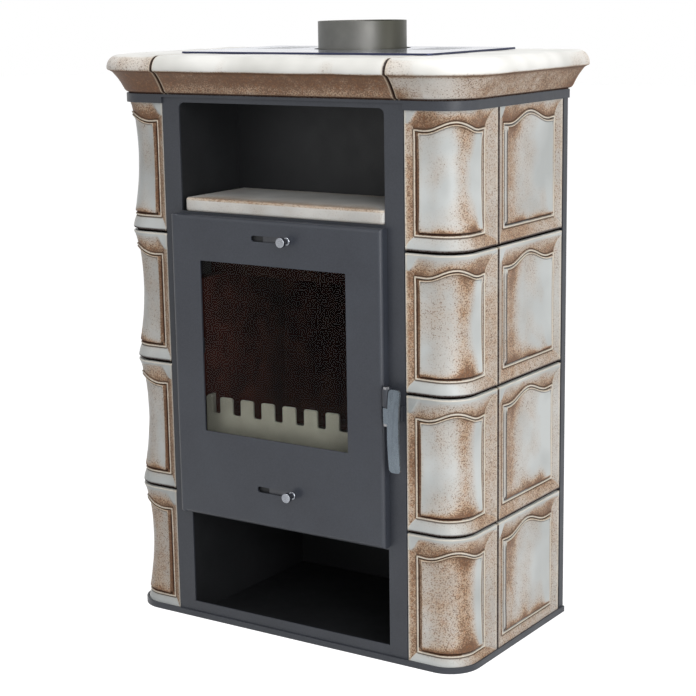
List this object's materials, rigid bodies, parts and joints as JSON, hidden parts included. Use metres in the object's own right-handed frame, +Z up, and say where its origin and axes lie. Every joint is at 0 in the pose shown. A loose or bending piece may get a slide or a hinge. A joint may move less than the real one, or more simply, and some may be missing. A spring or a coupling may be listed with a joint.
{
  "type": "tiled wood stove",
  "caption": "Free-standing wood stove clad in glazed tiles, with a hinged glass door, warming niche, log store, moulded ceramic cornice and a top flue outlet.",
  "frame": {"origin": "on the floor, under the middle of the stove's bounding box", "axes": "+X to the stove's right as seen from its front, +Y from the front to the back, +Z up"},
  "size_m": [0.749, 0.394, 1.019],
  "materials": {
    "dark_steel": "anthracite satin stove paint",
    "door_steel": "anthracite satin stove paint, a shade lighter",
    "inner_steel": "near-black heat-proof paint, matt",
    "bare_steel": "rolled steel, oxidised by heat",
    "tile_glaze": "grey-cream glaze with speckled brown oxide on the raised edges",
    "cornice_glaze": "cream glaze, brown oxide in the hollow",
    "slab_glaze": "light glaze with a few brown specks",
    "joint": "dark heat-proof strip",
    "cover_steel": "dark satin paint",
    "flue_steel": "grey heat-proof paint, slightly speckled",
    "firebrick": "buff refractory brick, sooted",
    "baffle": "pressed vermiculite",
    "cast_grate": "rough casting",
    "retainer": "heat-tinted steel",
    "pan_steel": "galvanised sheet",
    "glass": "clear ceramic glass",
    "seal": "black glass-fibre rope",
    "screw": "zinc-plated",
    "handle": "blue-grey zinc-plated, satin",
    "chrome": "polished"
  },
  "bodies": {
    "stove": {"base_tray": "dark_steel", "top_tray": "dark_steel", "front_frame": "dark_steel", "rear_posts": "dark_steel", "backing_panels": "inner_steel", "back_panel": "dark_steel", "casing_screws": "screw", "joint_strips": "joint", "top_cover_plate": "cover_steel", "smoke_channel": "inner_steel", "flue_spigot": "flue_steel", "niche_box": "inner_steel", "niche_shelf_tile": "slab_glaze", "log_store_liner": "inner_steel", "firebox_shell": "inner_steel", "firebrick_right": "firebrick", "firebrick_left": "firebrick", "firebrick_back": "firebrick", "firebrick_floor": "firebrick", "baffle_plate": "baffle", "grate": "cast_grate", "log_retainer": "retainer", "ash_pan": "pan_steel", "hinge_lugs": "door_steel", "hinge_pins": "screw", "latch_keeper": "dark_steel", "cornice_left": "cornice_glaze", "cornice_centre": "cornice_glaze", "cornice_right": "cornice_glaze", "corner_tile_left_1": "tile_glaze", "corner_tile_left_2": "tile_glaze", "corner_tile_left_3": "tile_glaze", "corner_tile_left_4": "tile_glaze", "corner_tile_right_1": "tile_glaze", "corner_tile_right_2": "tile_glaze", "corner_tile_right_3": "tile_glaze", "corner_tile_right_4": "tile_glaze", "side_tile_left_1": "tile_glaze", "side_tile_left_2": "tile_glaze", "side_tile_left_3": "tile_glaze", "side_tile_left_4": "tile_glaze", "side_tile_right_1": "tile_glaze", "side_tile_right_2": "tile_glaze", "side_tile_right_3": "tile_glaze", "side_tile_right_4": "tile_glaze"},
    "door": {"door_panel": "door_steel", "door_inner_frame": "inner_steel", "door_rope_seal": "seal", "door_glass": "glass", "glass_seal": "seal", "glass_clips": "bare_steel", "door_screws": "screw", "air_slide_guides": "bare_steel", "handle_bracket": "door_steel", "handle_bolt": "screw"},
    "handle": {"handle_lever": "handle"},
    "upper_slide": {"upper_air_slide": "bare_steel", "upper_air_knob": "chrome"},
    "lower_slide": {"lower_air_slide": "bare_steel", "lower_air_knob": "chrome"}
  },
  "joints": [
    {"name": "door_hinge", "type": "hinge", "parent": "stove", "child": "door", "pos_m": [-0.2041, -0.1668, 0.453], "axis": [0, 0, -1], "range_deg": [0, 95]},
    {"name": "handle_turn", "type": "hinge", "parent": "door", "child": "handle", "pos_m": [0.2126, -0.1782, 0.418], "axis": [0, 0, -1], "range_deg": [0, 40]},
    {"name": "upper_air_slide_travel", "type": "slide", "parent": "door", "child": "upper_slide", "axis": [-1, 0, 0], "range_m": [0, 0.067]},
    {"name": "lower_air_slide_travel", "type": "slide", "parent": "door", "child": "lower_slide", "axis": [-1, 0, 0], "range_m": [0, 0.067]}
  ]
}
